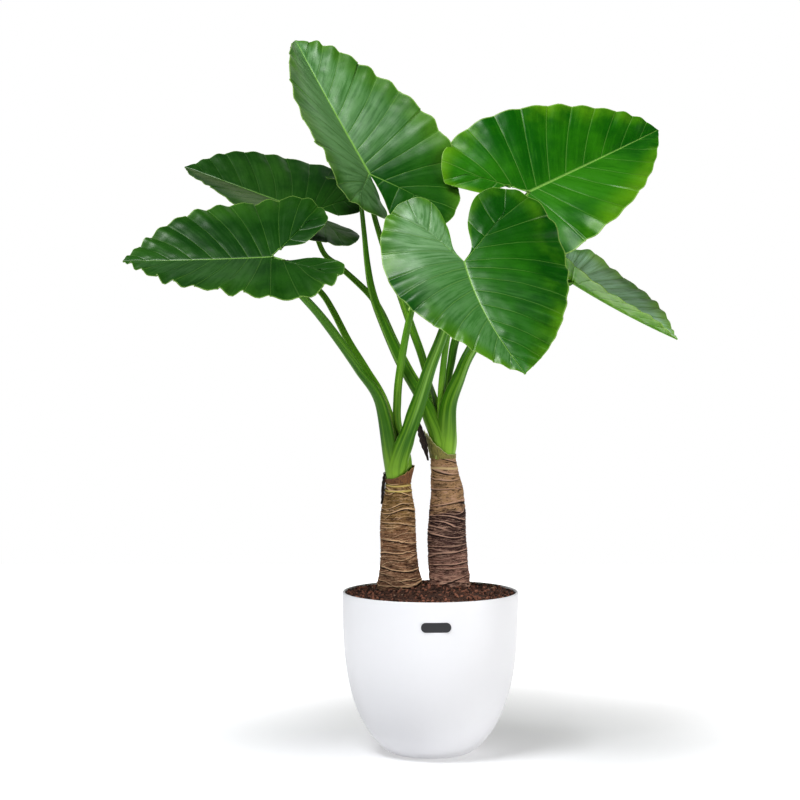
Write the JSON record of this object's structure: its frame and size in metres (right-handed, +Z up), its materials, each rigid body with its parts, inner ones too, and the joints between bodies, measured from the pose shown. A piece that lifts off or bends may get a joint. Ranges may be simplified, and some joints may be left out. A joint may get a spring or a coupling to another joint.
{
  "type": "giant taro house plant in a planter",
  "caption": "Potted giant taro: heart-shaped leaves on long sheathing stalks rise from ringed trunks growing in soil in a round tapering white planter.",
  "frame": {"origin": "centre of the planter's flat underside", "axes": "+Z up along the planter's axis; +X to the right and -Y towards the viewer, seen from the side of the badge"},
  "size_m": [1.0288, 0.6484, 1.3578],
  "materials": {
    "pot_white": "smooth satin white",
    "badge_black": "blank dark badge, satin",
    "soil": "dark reddish-brown crumbly potting soil",
    "bark": "rough ringed bark with leaf scars",
    "blade": "glossy green leaf with pale veins",
    "stalk": "smooth fleshy green stalk with fine stripes",
    "young_blade": "pale green rolled young leaf",
    "dry_sheath": "dry dark brown papery sheath"
  },
  "bodies": {
    "root": {"pot": "pot_white", "badge": "badge_black", "soil": "soil", "trunk_left": "bark", "trunk_right": "bark", "leaf_low_left": "blade", "leaf_back_left": "blade", "leaf_top": "blade", "leaf_right": "blade", "leaf_front": "blade", "leaf_far_right": "blade", "leaf_young_left": "blade", "leaf_young_back": "blade", "stalk_low_left": "stalk", "stalk_young_left": "stalk", "stalk_spear_left": "stalk", "stalk_front": "stalk", "stalk_back_left": "stalk", "stalk_young_back": "stalk", "stalk_top": "stalk", "stalk_spear_right": "stalk", "stalk_right": "stalk", "stalk_far_right": "stalk", "spear_left": "young_blade", "spear_right": "young_blade", "dry_sheath_left": "dry_sheath", "dry_sheath_right": "dry_sheath"}
  },
  "joints": []
}
